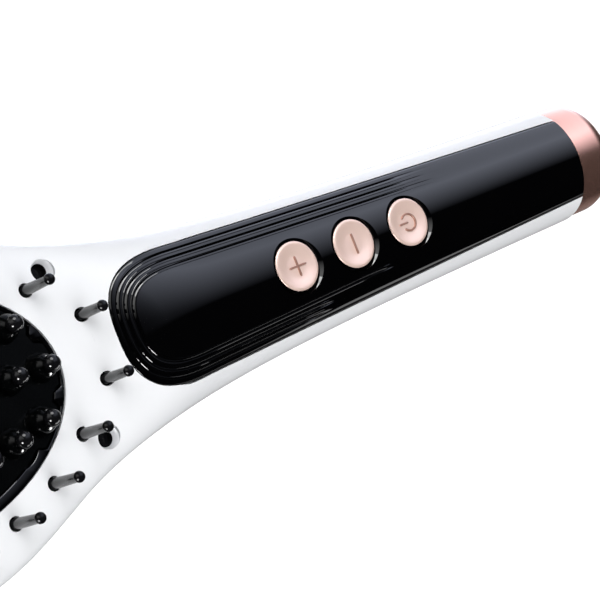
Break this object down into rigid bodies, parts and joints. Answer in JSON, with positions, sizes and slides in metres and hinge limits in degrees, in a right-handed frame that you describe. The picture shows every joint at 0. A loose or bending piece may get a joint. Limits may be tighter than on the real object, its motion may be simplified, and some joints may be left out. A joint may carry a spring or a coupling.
{
  "type": "steam hair straightener brush",
  "caption": "Handheld heated hair brush: oval toothed plate ringed by cool pins and steam outlets, flared neck, round handle with a curved panel and press buttons, swivel cord gland.",
  "frame": {"origin": "centre of the footprint, on the surface that the brush lies on, bristles up", "axes": "+X from the head's tip to the cord gland, +Y across the brush, +Z out of the bristle face"},
  "size_m": [0.29, 0.0843, 0.0365],
  "materials": {
    "white_housing": "high gloss moulded",
    "black_panel": "piano black, high gloss",
    "rose_gold": "satin metallic",
    "black_plastic": "moulded, semi-gloss",
    "black_coating": "glossy heat-resistant coating",
    "ceramic": "unglazed ceramic",
    "cast_aluminium": "die cast",
    "silicone": "matt silicone",
    "grey_plastic": "moulded",
    "smoke_tank": "smoked translucent",
    "black_rubber": "matt",
    "circuit_board": "solder mask",
    "steel": "zinc plated"
  },
  "bodies": {
    "housing": {"front_cover": "white_housing", "back_cover": "white_housing", "control_panel": "black_panel", "end_cap": "rose_gold", "plate_bezel": "black_panel", "heater_plate": "black_coating", "heater_teeth": "black_coating", "tooth_tips": "black_plastic", "outer_pins": "black_plastic", "pin_carrier": "black_plastic", "heating_element": "ceramic", "steam_chamber": "cast_aluminium", "chamber_insulator": "silicone", "thermal_fuse": "steel", "steam_manifold": "silicone", "outlet_sleeves": "grey_plastic", "pump": "black_plastic", "feed_tube": "silicone", "delivery_tube": "silicone", "tank_seal": "black_rubber", "tact_switches": "black_plastic", "display_module": "black_plastic", "power_parts": "black_plastic", "ion_generator": "black_plastic", "board_screws": "steel", "housing_screws": "steel", "control_board": "circuit_board", "main_board": "circuit_board"},
    "plus_button": {"button_plus": "rose_gold"},
    "minus_button": {"button_minus": "rose_gold"},
    "power_button": {"button_power": "rose_gold"},
    "gland": {"cord_gland": "black_plastic", "gland_clip": "steel"},
    "tank": {"water_tank": "smoke_tank"},
    "plug": {"tank_plug": "black_rubber"}
  },
  "joints": [
    {"name": "plus_press", "type": "slide", "parent": "housing", "child": "plus_button", "axis": [0, 0, -1], "range_m": [0, 0.0006], "stiffness_N_per_m": 400},
    {"name": "minus_press", "type": "slide", "parent": "housing", "child": "minus_button", "axis": [0, 0, -1], "range_m": [0, 0.0006], "stiffness_N_per_m": 400},
    {"name": "power_press", "type": "slide", "parent": "housing", "child": "power_button", "axis": [0, 0, -1], "range_m": [0, 0.0006], "stiffness_N_per_m": 400},
    {"name": "gland_swivel", "type": "hinge", "parent": "housing", "child": "gland", "pos_m": [0.1372, 0, 0.0153], "axis": [1, 0, 0], "continuous": true},
    {"name": "tank_slide", "type": "slide", "parent": "housing", "child": "tank", "axis": [-1, 0, 0], "range_m": [0, 0.03]},
    {"name": "plug_pull", "type": "slide", "parent": "tank", "child": "plug", "axis": [-1, 0, 0], "range_m": [0, 0.008]}
  ]
}
